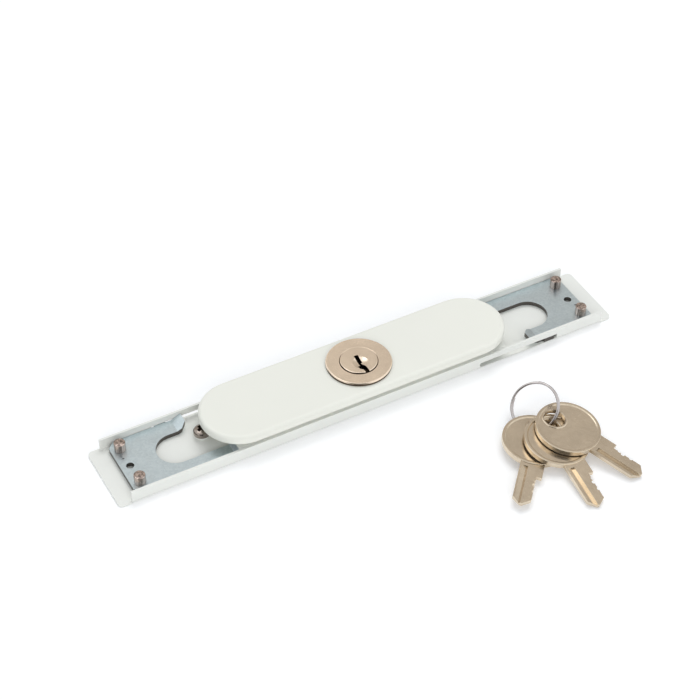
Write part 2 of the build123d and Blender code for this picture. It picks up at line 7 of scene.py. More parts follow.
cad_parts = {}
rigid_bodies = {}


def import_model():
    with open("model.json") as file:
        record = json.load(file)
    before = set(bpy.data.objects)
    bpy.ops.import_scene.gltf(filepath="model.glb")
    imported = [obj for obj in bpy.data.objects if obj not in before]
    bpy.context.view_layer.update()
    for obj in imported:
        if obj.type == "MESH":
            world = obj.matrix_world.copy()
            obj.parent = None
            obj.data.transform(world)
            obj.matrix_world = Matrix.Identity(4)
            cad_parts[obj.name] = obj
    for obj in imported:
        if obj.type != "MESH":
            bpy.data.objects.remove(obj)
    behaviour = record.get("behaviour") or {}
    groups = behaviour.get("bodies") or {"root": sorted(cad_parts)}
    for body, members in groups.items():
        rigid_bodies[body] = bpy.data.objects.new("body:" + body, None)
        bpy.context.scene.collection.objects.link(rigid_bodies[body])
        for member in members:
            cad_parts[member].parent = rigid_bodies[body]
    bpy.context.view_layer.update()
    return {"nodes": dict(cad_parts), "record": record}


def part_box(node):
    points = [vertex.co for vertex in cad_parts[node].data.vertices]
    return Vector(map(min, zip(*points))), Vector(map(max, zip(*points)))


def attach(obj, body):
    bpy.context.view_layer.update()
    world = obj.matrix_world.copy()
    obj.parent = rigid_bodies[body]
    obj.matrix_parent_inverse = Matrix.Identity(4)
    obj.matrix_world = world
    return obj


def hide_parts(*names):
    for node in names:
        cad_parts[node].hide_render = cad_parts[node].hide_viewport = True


bl_info = {
    "name": "Roller Shutter Lock",
    "version": (1, 0, 0),
    "blender": (4, 5, 0),
    "location": "View3D > Sidebar > Shutter Lock",
    "description": "Finishes a roller shutter lock and its keys around their packed model",
    "category": "Object",
}

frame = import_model()
BODIES = frame["record"]["behaviour"]["bodies"]
NODE_BODY = {node: body for body, nodes in BODIES.items() for node in nodes}
NODE_SLOT = {part["node"]: part["material_slot"] for part in frame["record"]["subparts"]}

# Filled by make_materials: the shader groups by name, and the materials by the record's slots.
GROUPS = {}
MATERIALS = {}

MM = 0.001
# Face mark for a darker colour: painted shade in bores, recesses and on upright sides, and bare cut edges with
# painted shade on the plates.
DARK_FACES = "dark_faces"

# Distances under which two points are one, and under which a point lies on a level.
JOIN = 0.002 * MM
NEAR = 0.01 * MM

# Angles in degrees: under FLAT two triangles are one face, and over the others an edge stays crisp.
FLAT = 1.2
CREASE = 30
PACKED_CREASE = 28
TURNED_CREASE = 25
FOLD_CREASE = 19
WIRE_CREASE = 50

# How much broad faces set the shading of the roundings beside them, from 1 to 100.
BROAD_FACES = 60

# How far the normal of an upright face may rise, and that of the cross recess's leaning walls.
UPRIGHT = 0.3
LEANING = 0.6

# Steps of a rounding that is seen close up, and of the screw's dome from its rim to its top.
FINE_STEPS = 5
DOME_STEPS = 9

# The cross recess: the share of its width that is left at its floor, how far its faces lie from
# the axis, as a share of its half span, and how the screw was left turned.
RECESS_TAPER = 0.5
RECESS_REACH = 1.1
RECESS_TURN = radians(20)

# How many times finer the collar round a key's hole is edged than its bow.
COLLAR_FINENESS = 3

# Slices round the split ring, and sides of its wire.
RING_SLICES = 144
WIRE_SIDES = 20

# The keyway seen from the front, in millimetres from the plug's axis: a slot with a ward on its
# right side, a flare on its left and an open foot.
KEYWAY = (
    (-0.95, 2.8), (0.85, 2.8), (0.85, -1.45), (0.05, -1.8), (0.85, -3.85), (0.85, -9.0), (-0.95, -9.0),
    (-0.95, -6.2), (-2.15, -5.0), (-2.15, -3.2), (-0.95, -2.85),
)

# The floor's edge and the nearest distance that the camera sees, in metres, the sensor's width in
# millimetres, and the roughness of floor and cards.
FLOOR_SPAN = 12.0
NEAREST_SEEN = 0.01
SENSOR_WIDTH = 36.0
MATT = 0.9


def size(name, description, default_mm):
    """A length property given in millimetres and kept in metres."""
    return bpy.props.FloatProperty(
        name=name, description=description, default=default_mm * MM, unit="LENGTH", precision=5)


def number(name, description, default):
    """A property that is a plain number."""
    return bpy.props.FloatProperty(name=name, description=description, default=default)


def angle(name, description, degrees):
    """An angle property given in degrees."""
    return bpy.props.FloatProperty(
        name=name, description=description, default=radians(degrees), subtype="ANGLE")


def colour(name, description, red, green, blue):
    """A colour property given as the shade seen on a screen, from 0 to 255."""
    return bpy.props.FloatVectorProperty(
        name=name, description=description, subtype="COLOR", size=3, min=0, max=1,
        default=tuple(linear(channel / 255) for channel in (red, green, blue)))


def linear(value):
    """A screen value as light."""
    if value <= 0.04045:
        return value / 12.92
    return ((value + 0.055) / 1.055) ** 2.4


def place_mm(name, description, x, y, z):
    """A place given in millimetres and kept in metres."""
    return bpy.props.FloatVectorProperty(
        name=name, description=description, default=(x * MM, y * MM, z * MM),
        subtype="TRANSLATION", precision=5)


def turn(name, description, x, y, z):
    """Turns about X, Y and Z in that order, given in degrees."""
    return bpy.props.FloatVectorProperty(
        name=name, description=description, default=(radians(x), radians(y), radians(z)),
        subtype="EULER")


class LockSizes(bpy.types.PropertyGroup):
    """Sizes of the lock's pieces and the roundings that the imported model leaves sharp."""

    sheet_edge: size("Sheet edge", "Rounding of the cut edges of folded sheet", 0.2)
    plate_edge: size("Plate edge", "Rounding of the bolt plates' punched edges", 0.12)
    moulding_edge: size("Moulding edge", "Rounding left by the mould on the cover", 0.25)
    turned_edge: size("Turned edge", "Broken edge of turned pieces", 0.12)
    screw_edge: size("Screw edge", "Rounding of the screw heads", 0.1)
    flange_radius: size("Flange radius", "Radius of the cylinder's flange", 13.9)
    flange_height: size("Flange height", "Thickness of the cylinder's flange", 1.4)
    flange_bevel: size("Flange bevel", "Sloped rim of the flange", 0.5)
    barrel_radius: size("Barrel radius", "Radius of the barrel under the flange", 11.0)
    spigot_radius: size("Spigot radius", "Radius of the step that stands in the lid", 10.4)
    spigot_height: size("Spigot height", "Height of that step", 0.9)
    clip_groove_low: size("Clip groove low", "Lower side of the barrel's groove, above its foot", 3.75)
    clip_groove_high: size("Clip groove high", "Upper side of the barrel's groove, above its foot", 4.8)
    clip_groove_depth: size("Clip groove depth", "Depth of the barrel's groove", 1.4)
    bore_radius: size("Bore radius", "Bore in which the plug turns", 7.9)
    bore_bevel: size("Bore bevel", "Countersunk rim of the bore", 0.25)
    plug_radius: size("Plug radius", "Radius of the turning plug", 7.85)
    plug_bevel: size("Plug bevel", "Sloped rim of the plug", 0.25)
    dish_radius: size("Dish radius", "Radius of the hollow round the keyway", 3.4)
    dish_depth: size("Dish depth", "Depth of that hollow", 0.8)
    dish_y: size("Dish place", "Middle of the hollow, along Y", -1.7)
    tail_radius: size("Tail radius", "Radius of the plug's tail", 7.0)
    tail_flat: size("Tail flat", "Distance of the tail's flats from the axis", 6.0)
    tail_height: size("Tail height", "Height of the tail below the plug's shoulder", 3.9)
    pin_radius: size("Pin radius", "Radius of the drive pins", 2.4)
    pin_shank_radius: size("Pin shank radius", "Radius of the riveted shank", 1.5)
    pin_height: size("Pin height", "Height of the drive pins above their plate", 4.2)
    pin_edge: size("Pin edge", "Rounding of the drive pins", 0.3)
    screw_head_radius: size("Screw head radius", "Radius of the fixing screw's head", 3.5)
    screw_head_height: size("Screw head height", "Height of the fixing screw's head", 2.9)
    screw_rim_height: size("Screw rim height", "Upright rim of the head under its dome", 1.3)
    screw_shank_radius: size("Screw shank radius", "Radius of the fixing screw", 2.0)
    recess_span: size("Recess span", "Length of the cross recess's slots", 5.2)
    recess_width: size("Recess width", "Width of the slots", 1.9)
    recess_depth: size("Recess depth", "Depth of the slots", 1.6)


class KeySizes(bpy.types.PropertyGroup):
    """Sizes of the keys and their ring, and how they lie."""

    thickness: size("Thickness", "Thickness of the bow at its rim", 2.2)
    bow_radius: size("Bow radius", "Radius of the round bow", 13.5)
    rim: size("Rim", "Width of the raised rim", 1.2)
    rim_slope: size("Rim slope", "Run of the slope inside the rim", 0.25)
    recess: size("Recess", "Depth of the web below the rim", 0.25)
    edge: size("Edge", "Rounding of the coined edges", 0.28)
    hole_radius: size("Hole radius", "Radius of the ring hole", 4.4)
    hole_rim: size("Hole rim", "Width of the raised rim round the hole", 1.0)
    hole_offset: size("Hole offset", "From the bow's middle to the hole's", 6.6)
    blade_thickness: size("Blade thickness", "Thickness of the blade", 1.7)
    blade_half_width: size("Blade half width", "Half the blade's width", 3.75)
    blade_tip: size("Blade tip", "End of the blade, from the bow's middle", 35.1)
    blade_tip_start: size("Blade tip start", "Where the point begins", 32.4)
    blade_tip_flat: size("Blade tip flat", "Width of the point's flat", 0.8)
    stop_reach: size("Stop reach", "How far the stop stands from the blade's middle", 6.0)
    stop_end: size("Stop end", "Where the stop ends", 19.6)
    blade_edge: size("Blade edge", "Rounding of the blade's edges", 0.14)
    groove_start: size("Groove start", "Where the groove begins", 15.0)
    groove_near: size("Groove near", "Steep side of the groove, from the blade's middle", 0.4)
    groove_far: size("Groove far", "Shallow side of the groove, from the blade's middle", 2.9)
    groove_slope: size("Groove slope", "Run of the steep side", 0.35)
    groove_depth: size("Groove depth", "Depth of the groove", 0.85)
    first_cut: size("First cut", "From the stop to the cut nearest to it", 2.7)
    cut_pitch: size("Cut pitch", "From each cut to the next", 1.8)
    cut_flat: size("Cut flat", "Flat at the bottom of a cut", 0.9)
    cut_slope: number("Cut slope", "Run of a cut's side for its depth", 0.55)
    cuts: bpy.props.FloatVectorProperty(
        name="Cuts", description="Depth of each cut, from the stop to the tip, in millimetres",
        size=4, default=(0.4, 0.9, 0.1, 0.5))
    place_1: place_mm("First key", "Middle of the lowest key's bow", 45.0, -65.5, 3.1)
    place_2: place_mm("Second key", "Middle of the second key's bow", 52.0, -70.75, 4.65)
    place_3: place_mm("Third key", "Middle of the upper key's bow", 58.4, -68.7, 6.67)
    turn_1: turn("First key's turn", "How the lowest key lies", -7.2, -0.2, -131.6)
    turn_2: turn("Second key's turn", "How the second key lies", -7.25, 5.85, -94.6)
    turn_3: turn("Third key's turn", "How the upper key lies", -3.2, 8.8, -65.2)
    wire_radius: size("Wire radius", "Radius of the split ring's wire", 0.55)
    ring_radius: size("Ring radius", "Radius of the middle of the wire", 10.0)
    ring_pitch: size("Ring pitch", "From one turn of the wire to the other", 0.94)
    ring_place: place_mm("Ring place", "Middle of the split ring", 52.8, -52.8, 7.803)
    ring_turn: turn("Ring's turn", "How the split ring leans", 0, 41.3, -157.6)
    crossing_start: angle("Crossing start", "Where the wire leaves one turn", 201)
    crossing_end: angle("Crossing end", "Where it reaches the other", 276)


class LockColours(bpy.types.PropertyGroup):
    """The colour of each finish."""

    paint: colour("Paint", "Powder coat of the channel and lid", 238, 239, 233)
    moulding: colour("Moulding", "Warm white of the cover", 241, 241, 231)
    zinc: colour("Zinc", "Galvanised bolt plates", 210, 222, 226)
    zinc_shade: colour("Zinc shade", "Darker crystals in the zinc", 198, 211, 216)
    lock_nickel: colour("Lock nickel", "Satin plating of the flange and plug", 250, 232, 210)
    key_nickel: colour("Key nickel", "Satin plating of the keys", 228, 213, 190)
    pin_nickel: colour("Pin nickel", "Bright plating of the drive pins", 222, 204, 194)
    # Drawn lines deepened into dark stripes that paint the reflections down the pins' sides.
    pin_lines_and_dark_reflection: colour("Pin shade", "Drawn lines down the drive pins", 112, 100, 94)
    ring_steel: colour("Ring steel", "Polished wire", 196, 191, 190)
    screw_zinc: colour("Screw zinc", "Plating of the screws and rivets", 160, 150, 142)
    # Brass painted dark as the wafers' shade in the keyway.
    brass: colour("Brass", "Wafers", 84, 72, 58)
    dark_steel: colour("Dark steel", "Clips, springs and pinion", 120, 120, 124)
    # Bare edges, darkened further as painted shade in the plates' gaps and holes.
    bare_edge_and_painted_shade: colour("Cut edge", "Bare edges of the punched plates", 96, 92, 88)
    # Recess is painted shade, given to bores, the keyway, the cross recess and the flange's upright side.
    recess: colour("Recess", "Bores, recesses and the side of the flange", 70, 58, 48)


class StageSettings(bpy.types.PropertyGroup):
    """Camera, lamps, reflected cards and floor."""

    lens: number("Lens", "Focal length in millimetres", 97.27)
    azimuth: angle("Azimuth", "Side from which the camera looks", -28.30)
    elevation: angle("Elevation", "Height of the camera's view", 43.35)
    roll: angle("Roll", "Turn of the camera about its view", -0.17)
    distance: size("Distance", "From the camera to the point that it looks at", 805.23)
    target: place_mm("Target", "Point on the floor that the camera looks at", 6.65, 19.98, 0)
    sky: number("Sky", "Strength of the even light", 0.52)
    sky_tint: colour("Sky tint", "Colour of the even light", 246, 250, 255)
    lamp: number("Lamp", "Power of the overhead lamp in watts", 26.0)
    fill: number("Fill", "Power of the low front lamp in watts", 24.0)
    lift: number("Lift", "Brightness added to the floor where it is seen", 0.18)
    bright_card: number("Bright card", "Brightness of the card that stands for the softbox", 2.0)
    far_tint: colour("Far card tint", "Colour of the far cards", 255, 248, 240)
    far_card_left: number("Left far card", "Brightness that the left half's upper faces mirror", 0.62)
    far_card_right: number("Right far card", "Brightness that the right half's upper faces mirror", 0.54)
    dark_card: number("Dark cards", "Brightness of the cards that rims and walls mirror", 0.03)
    floor: colour("Floor", "Pale floor", 246, 246, 246)


def deselect():
    """Leaves nothing selected."""
    for item in bpy.context.view_layer.objects:
        item.select_set(False)


def select(item):
    """Makes one object the only selected and active one."""
    deselect()
    item.select_set(True)
    bpy.context.view_layer.objects.active = item


def edit_all():
    """Goes into edit mode with the whole piece chosen."""
    bpy.ops.object.mode_set(mode="EDIT")
    bpy.ops.mesh.select_all(action="SELECT")


def leave_edit():
    """Goes back to object mode."""
    bpy.ops.object.mode_set(mode="OBJECT")


def choose_points(piece, chosen):
    """Goes into edit mode with those points chosen whose place passes a test."""
    select(piece)
    bpy.ops.object.mode_set(mode="EDIT")
    bpy.ops.mesh.select_mode(type="VERT")
    bpy.ops.mesh.select_all(action="DESELECT")
    leave_edit()
    for point in piece.data.vertices:
        point.select = chosen(point.co)
    bpy.ops.object.mode_set(mode="EDIT")


def modify(item, kind, **settings):
    """Adds a modifier and applies it."""
    select(item)
    modifier = item.modifiers.new(kind.title(), kind)
    for key, value in settings.items():
        setattr(modifier, key, value)
    bpy.ops.object.modifier_apply(modifier=modifier.name)


def smooth(piece, crease):
    """Smooth shading with sharp creases kept and broad faces left flat."""
    select(piece)
    bpy.ops.object.shade_smooth_by_angle(angle=radians(crease))
    modify(piece, "WEIGHTED_NORMAL", keep_sharp=True, weight=BROAD_FACES)


def own_copy(source, name):
    """A copy of a piece, with its own mesh."""
    piece = bpy.data.objects.new(name, source.data.copy())
    piece.data.name = name
    bpy.context.scene.collection.objects.link(piece)
    return piece


def give_material(piece, node):
    """Gives a piece the material of a node's record slot."""
    piece.data.materials.clear()
    piece.data.materials.append(MATERIALS[NODE_SLOT[node]])


def settle(piece, node):
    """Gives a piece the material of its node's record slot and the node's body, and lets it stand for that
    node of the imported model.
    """
    give_material(piece, node)
    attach(piece, NODE_BODY[node])
    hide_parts(node)


def dress(node, edge, segments=3, fold=PACKED_CREASE):
    """Replaces a node with a copy whose triangles are merged into clean faces and whose edges are rounded."""
    piece = own_copy(frame["nodes"][node], f"{node}_finish")
    select(piece)
    edit_all()
    bpy.ops.mesh.customdata_custom_splitnormals_clear()
    bpy.ops.mesh.remove_doubles(threshold=JOIN)
    bpy.ops.mesh.dissolve_limited(angle_limit=radians(FLAT))
    leave_edit()
    modify(piece, "BEVEL", width=edge, segments=segments, limit_method="ANGLE",
           angle_limit=radians(PACKED_CREASE), use_clamp_overlap=True, miter_outer="MITER_ARC")
    smooth(piece, fold)
    settle(piece, node)
    return piece


def finish_node(piece, node, crease=CREASE):
    """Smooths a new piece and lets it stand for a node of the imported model."""
    smooth(piece, crease)
    settle(piece, node)


def mark(piece, chosen):
    """Marks the faces that a finish paints darker: painted shade in bores, recesses and on upright sides, and
    on the plates bare cut edges with painted gap shade.
    """
    layer = piece.data.attributes.new(DARK_FACES, "FLOAT", "FACE")
    layer.data.foreach_set("value", [float(chosen(face)) for face in piece.data.polygons])


def upright(face):
    """Whether a face stands upright."""
    return abs(face.normal.z) < UPRIGHT


def begin(name):
    """A new piece of one point, left in edit mode to be drawn out."""
    bpy.ops.mesh.primitive_plane_add(size=MM, location=(0, 0, 0))
    piece = bpy.context.object
    piece.name = name
    edit_all()
    bpy.ops.mesh.merge(type="CENTER")
    return piece


def draw_through(points):
    """Moves the new point to the first place, draws edges on to the others and chooses them all."""
    here = Vector(points[0])
    bpy.ops.transform.translate(value=here)
    for point in points[1:]:
        bpy.ops.mesh.extrude_vertices_move(TRANSFORM_OT_translate={"value": Vector(point) - here})
        here = Vector(point)
    bpy.ops.mesh.select_all(action="SELECT")


def close_up():
    """Merges doubled points and turns all faces outwards."""
    bpy.ops.mesh.select_all(action="SELECT")
    bpy.ops.mesh.remove_doubles(threshold=JOIN)
    bpy.ops.mesh.normals_make_consistent(inside=False)


def round_edges(piece, width, segments=2):
    """Rounds every crisp edge."""
    modify(piece, "BEVEL", width=width, segments=segments, limit_method="ANGLE",
           angle_limit=radians(CREASE))


def turned(name, profile, steps=96, place=(0, 0, 0), edge=0, segments=2):
    """A turned piece: its profile of radius and height is drawn and spun about an upright axis."""
    piece = begin(name)
    draw_through([(radius, 0, height) for radius, height in profile])
    bpy.ops.mesh.spin(steps=steps, angle=2 * pi, center=(0, 0, 0), axis=(0, 0, 1))
    close_up()
    bpy.ops.transform.translate(value=place)
    leave_edit()
    if edge:
        round_edges(piece, edge, segments)
    return piece


def mirrored(profile):
    """A profile that ends above the middle as it begins below it."""
    return [*profile, *((radius, -height) for radius, height in reversed(profile))]


def prism(name, outline, low, high):
    """A piece of one outline: it is drawn, filled and raised."""
    piece = begin(name)
    draw_through([(x, y, low) for x, y in outline])
    bpy.ops.mesh.edge_face_add()
    bpy.ops.mesh.extrude_region_move(TRANSFORM_OT_translate={"value": (0, 0, high - low)})
    close_up()
    leave_edit()
    return piece


def combine(piece, other, how):
    """Adds another piece to this one, or cuts it away, and uses it up."""
    modify(piece, "BOOLEAN", object=other, operation=how, solver="EXACT")
    bpy.data.objects.remove(other, do_unlink=True)


def taper(piece, level, share):
    """Narrows the face of a piece that lies at a level."""
    choose_points(piece, lambda place: abs(place.z - level) < NEAR)
    bpy.ops.transform.resize(value=(share, share, 1), center_override=(0, 0, level))
    leave_edit()


def lay(piece, place, turns=(0, 0, 0)):
    """Turns and moves a piece, and leaves its place in its mesh."""
    piece.matrix_world = Matrix.Translation(place) @ Euler(turns, "XYZ").to_matrix().to_4x4()
    bpy.context.view_layer.update()
    select(piece)
    bpy.ops.object.transform_apply(location=True, rotation=True, scale=True)


def middle_of(node):
    """The middle of a node, seen from above."""
    low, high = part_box(node)
    return ((low.x + high.x) / 2, (low.y + high.y) / 2, 0)


def add_node(tree, kind, settings=None, **values):
    """A shader node with its settings and unlinked values."""
    node = tree.nodes.new(kind)
    for key, value in (settings or {}).items():
        setattr(node, key, value)
    for key, value in values.items():
        node.inputs[key.replace("_", " ")].default_value = value
    return node


def add_math(tree, operation, *values, clamp=False):
    """A Math node, with the unlinked inputs that are given by number and value."""
    node = add_node(tree, "ShaderNodeMath", {"operation": operation, "use_clamp": clamp})
    for index, value in values:
        node.inputs[index].default_value = value
    return node


def link(tree, *pairs):
    """Links the output socket of each pair to its input socket."""
    for source, target in pairs:
        tree.links.new(source, target)


def node_group(name, **inputs):
    """A shader group from a place and named inputs to one value, with its input and output sockets."""
    tree = bpy.data.node_groups.new(name, "ShaderNodeTree")
    tree.interface.new_socket("Vector", in_out="INPUT", socket_type="NodeSocketVector")
    for label, default in inputs.items():
        kind = "NodeSocketVector" if isinstance(default, tuple) else "NodeSocketFloat"
        socket = tree.interface.new_socket(label.replace("_", " "), in_out="INPUT", socket_type=kind)
        socket.default_value = default
    tree.interface.new_socket("Value", in_out="OUTPUT", socket_type="NodeSocketFloat")
    GROUPS[name] = tree
    return tree, tree.nodes.new("NodeGroupInput").outputs, tree.nodes.new("NodeGroupOutput").inputs["Value"]


def mottle_group():
    """Soft cloudy variation, as in paint, plating and handled metal."""
    tree, given, result = node_group("Mottle", Scale=200.0)
    noise = add_node(tree, "ShaderNodeTexNoise", Detail=3.0)
    spread = add_node(tree, "ShaderNodeMapRange", From_Min=0.3, From_Max=0.7)
    link(tree, (given["Vector"], noise.inputs["Vector"]), (given["Scale"], noise.inputs["Scale"]),
         (noise.outputs["Fac"], spread.inputs["Value"]), (spread.outputs["Result"], result))


def streak_group():
    """Fine parallel lines, as left by rolling or brushing, along the direction that Stretch leaves long."""
    tree, given, result = node_group("Streaks", Stretch=(20.0, 900.0, 900.0), Contrast=1.0)
    scale = add_node(tree, "ShaderNodeVectorMath", {"operation": "MULTIPLY"})
    noise = add_node(tree, "ShaderNodeTexNoise", Scale=1.0, Detail=2.0)
    about_zero = add_math(tree, "SUBTRACT", (1, 0.5))
    spread = add_math(tree, "MULTIPLY_ADD", (2, 0.5), clamp=True)
    link(tree, (given["Vector"], scale.inputs[0]), (given["Stretch"], scale.inputs[1]),
         (scale.outputs["Vector"], noise.inputs["Vector"]), (noise.outputs["Fac"], about_zero.inputs[0]),
         (about_zero.outputs["Value"], spread.inputs[0]), (given["Contrast"], spread.inputs[1]),
         (spread.outputs["Value"], result))


def turning_group():
    """Concentric tool marks about the Z axis."""
    tree, given, result = node_group("Turning marks", Marks_per_metre=4000.0)
    flat = add_node(tree, "ShaderNodeVectorMath", {"operation": "MULTIPLY"})
    flat.inputs[1].default_value = (1, 1, 0)
    radius = add_node(tree, "ShaderNodeVectorMath", {"operation": "LENGTH"})
    noise = add_node(tree, "ShaderNodeTexNoise", {"noise_dimensions": "1D"}, Detail=2.0)
    link(tree, (given["Vector"], flat.inputs[0]), (flat.outputs["Vector"], radius.inputs[0]),
         (radius.outputs["Value"], noise.inputs["W"]), (given["Marks per metre"], noise.inputs["Scale"]),
         (noise.outputs["Fac"], result))


def crystal_group():
    """The frosty patches of hot-dip zinc."""
    tree, given, result = node_group("Zinc crystals", Scale=260.0)
    cells = add_node(tree, "ShaderNodeTexVoronoi", {"feature": "F1"})
    grey = add_node(tree, "ShaderNodeSeparateColor")
    link(tree, (given["Vector"], cells.inputs["Vector"]), (given["Scale"], cells.inputs["Scale"]),
         (cells.outputs["Color"], grey.inputs["Color"]), (grey.outputs["Red"], result))


def grain_group():
    """Even fine grain for shallow relief, as of powder coat or a spark-eroded mould."""
    tree, given, result = node_group("Fine grain", Scale=2000.0)
    noise = add_node(tree, "ShaderNodeTexNoise", Detail=0.0)
    link(tree, (given["Vector"], noise.inputs["Vector"]), (given["Scale"], noise.inputs["Scale"]),
         (noise.outputs["Fac"], result))


class Finish:
    """One material being put together on a Principled shader."""

    def __init__(self, name, metallic=0.0, coat=0.0):
        self.material = bpy.data.materials.new(name)
        self.material.use_nodes = True
        self.tree = self.material.node_tree
        self.shader = self.tree.nodes["Principled BSDF"]
        self.shader.inputs["Metallic"].default_value = metallic
        self.shader.inputs["Coat Weight"].default_value = coat
        self.place = self.tree.nodes.new("ShaderNodeTexCoord").outputs["Object"]

    def pattern(self, group, **values):
        """Places a shared group on the piece's own coordinates and returns its value."""
        node = add_node(self.tree, "ShaderNodeGroup", {"node_tree": GROUPS[group]}, **values)
        link(self.tree, (self.place, node.inputs["Vector"]))
        return node.outputs["Value"]

    def colour_between(self, value, first, second):
        """Base colour that moves between two shades."""
        mix = add_node(self.tree, "ShaderNodeMix", {"data_type": "RGBA"}, A=(*first, 1), B=(*second, 1))
        link(self.tree, (value, mix.inputs["Factor"]),
             (mix.outputs["Result"], self.shader.inputs["Base Color"]))

    def roughness_between(self, value, low, high):
        """Roughness that moves between two values."""
        spread = add_node(self.tree, "ShaderNodeMapRange", To_Min=low, To_Max=high)
        link(self.tree, (value, spread.inputs["Value"]),
             (spread.outputs["Result"], self.shader.inputs["Roughness"]))

    def darken_marked(self, dark):
        """Turns the base colour to a darker one on the marked faces: painted shade, and on the plates bare cut
        edges as well.
        """
        faces = add_node(self.tree, "ShaderNodeAttribute", {"attribute_name": DARK_FACES})
        mix = add_node(self.tree, "ShaderNodeMix", {"data_type": "RGBA"}, B=(*dark, 1))
        socket = self.shader.inputs["Base Color"]
        link(self.tree, (socket.links[0].from_socket, mix.inputs["A"]),
             (faces.outputs["Fac"], mix.inputs["Factor"]), (mix.outputs["Result"], socket))

    def relief(self, value, depth_mm):
        """Shallow relief of a real depth."""
        bump = add_node(self.tree, "ShaderNodeBump", Strength=1.0, Distance=depth_mm * MM)
        link(self.tree, (value, bump.inputs["Height"]),
             (bump.outputs["Normal"], self.shader.inputs["Normal"]))


def shade(base, factor):
    """A lighter or darker tone of a colour."""
    return tuple(min(1.0, channel * factor) for channel in base)


def painted_steel(name, base):
    """Powder coat: fine orange peel and a soft sheen."""
    finish = Finish(name, coat=0.15)
    finish.colour_between(finish.pattern("Mottle", Scale=60.0), shade(base, 0.975), shade(base, 1.01))
    finish.roughness_between(finish.pattern("Mottle", Scale=400.0), low=0.34, high=0.46)
    finish.relief(finish.pattern("Fine grain", Scale=2200.0), depth_mm=0.004)
    return finish.material


def moulded_plastic(name, base):
    """Smooth moulding with a faint flow pattern."""
    finish = Finish(name, coat=0.2)
    finish.colour_between(finish.pattern("Mottle", Scale=25.0), shade(base, 0.985), shade(base, 1.005))
    finish.roughness_between(finish.pattern("Mottle", Scale=220.0), low=0.30, high=0.38)
    finish.relief(finish.pattern("Fine grain", Scale=3500.0), depth_mm=0.002)
    return finish.material


def galvanised_sheet(name, base, dark, cut):
    """Zinc with a fine frost and faint rolling lines; its upright faces are bare cut edges, darkened further
    as painted shade in the gaps and holes.
    """
    finish = Finish(name, metallic=0.85)
    finish.colour_between(finish.pattern("Zinc crystals", Scale=1300.0), dark, base)
    finish.darken_marked(cut)
    finish.roughness_between(finish.pattern("Mottle", Scale=300.0), low=0.28, high=0.38)
    finish.relief(finish.pattern("Streaks", Stretch=(1200.0, 90.0, 90.0)), depth_mm=0.003)
    return finish.material


def turned_nickel(name, base, dark):
    """Satin plating with tool marks, cloudy where it is handled, and painted shade on the marked faces in
    bores and down the flange.
    """
    finish = Finish(name, metallic=0.95)
    finish.colour_between(finish.pattern("Mottle", Scale=110.0), shade(base, 0.92), shade(base, 1.04))
    finish.darken_marked(dark)
    finish.roughness_between(finish.pattern("Turning marks", Marks_per_metre=5000.0), low=0.22, high=0.28)
    finish.relief(finish.pattern("Streaks", Stretch=(120.0, 500.0, 500.0)), depth_mm=0.004)
    return finish.material


def satin_metal(name, base, dark, low, high, scale=150.0, contrast=0.1):
    """Plated or bare metal with clouds, fine grain and painted shade on the marked faces of recesses."""
    finish = Finish(name, metallic=0.95)
    finish.colour_between(finish.pattern("Mottle", Scale=scale), shade(base, 1 - contrast), shade(base, 1.03))
    finish.darken_marked(dark)
    finish.roughness_between(finish.pattern("Mottle", Scale=500.0), low, high)
    finish.relief(finish.pattern("Streaks", Stretch=(400.0, 400.0, 400.0)), depth_mm=0.003)
    return finish.material


def drawn_metal(name, base, dark):
    """Bright bar with drawn lines along its upright side, deepened into dark stripes that paint the
    reflections seen down the sides.
    """
    finish = Finish(name, metallic=0.95)
    finish.colour_between(finish.pattern("Streaks", Stretch=(1500.0, 1500.0, 60.0), Contrast=3.0), dark, base)
    finish.roughness_between(finish.pattern("Mottle", Scale=500.0), low=0.12, high=0.2)
    return finish.material


def bright_metal(name, base):
    """Polished metal with the faintest handling marks."""
    finish = Finish(name, metallic=1.0)
    finish.colour_between(finish.pattern("Mottle", Scale=90.0), shade(base, 0.95), shade(base, 1.02))
    finish.roughness_between(finish.pattern("Mottle", Scale=700.0), low=0.04, high=0.1)
    return finish.material


def make_materials():
    """Builds every shared group and each record slot's material once."""
    for build in (mottle_group, streak_group, turning_group, crystal_group, grain_group):
        build()
    tones = bpy.context.scene.lock_colours
    # The recess colour paints shade on the marked faces of the nickel and the fixing screw.
    dark, steel = tones.recess, tones.dark_steel
    MATERIALS.update({
        "white_paint": painted_steel("White powder coat", tones.paint),
        "cover_white": moulded_plastic("Warm white moulding", tones.moulding),
        "zinc_plate": galvanised_sheet("Galvanised sheet", tones.zinc, tones.zinc_shade, tones.bare_edge_and_painted_shade),
        "lock_nickel": turned_nickel("Turned satin nickel", tones.lock_nickel, dark),
        "key_nickel": satin_metal(
            "Key nickel", tones.key_nickel, dark, low=0.16, high=0.24, scale=70.0, contrast=0.16),
        "pin_nickel": drawn_metal("Pin nickel", tones.pin_nickel, tones.pin_lines_and_dark_reflection),
        "ring_chrome": bright_metal("Polished wire", tones.ring_steel),
        "screw_steel": satin_metal("Plated screw steel", tones.screw_zinc, dark, low=0.16, high=0.26),
        # The wafers' dark brass is painted shade.
        "wafer_brass": satin_metal("Wafer brass", tones.brass, dark, low=0.3, high=0.45),
        "spring_steel": satin_metal("Spring steel", steel, dark, low=0.25, high=0.4),
        "pinion_steel": satin_metal("Pinion steel", steel, dark, low=0.35, high=0.5),
    })


class SHUTTERLOCK_OT_channel(bpy.types.Operator):
    """Finish the folded channel and the lid between its walls"""

    bl_idname = "shutterlock.channel"
    bl_label = "Channel and lid"

    def execute(self, context):
        for node in ("channel", "bridge_lid"):
            dress(node, context.scene.lock_sizes.sheet_edge)
        return {"FINISHED"}


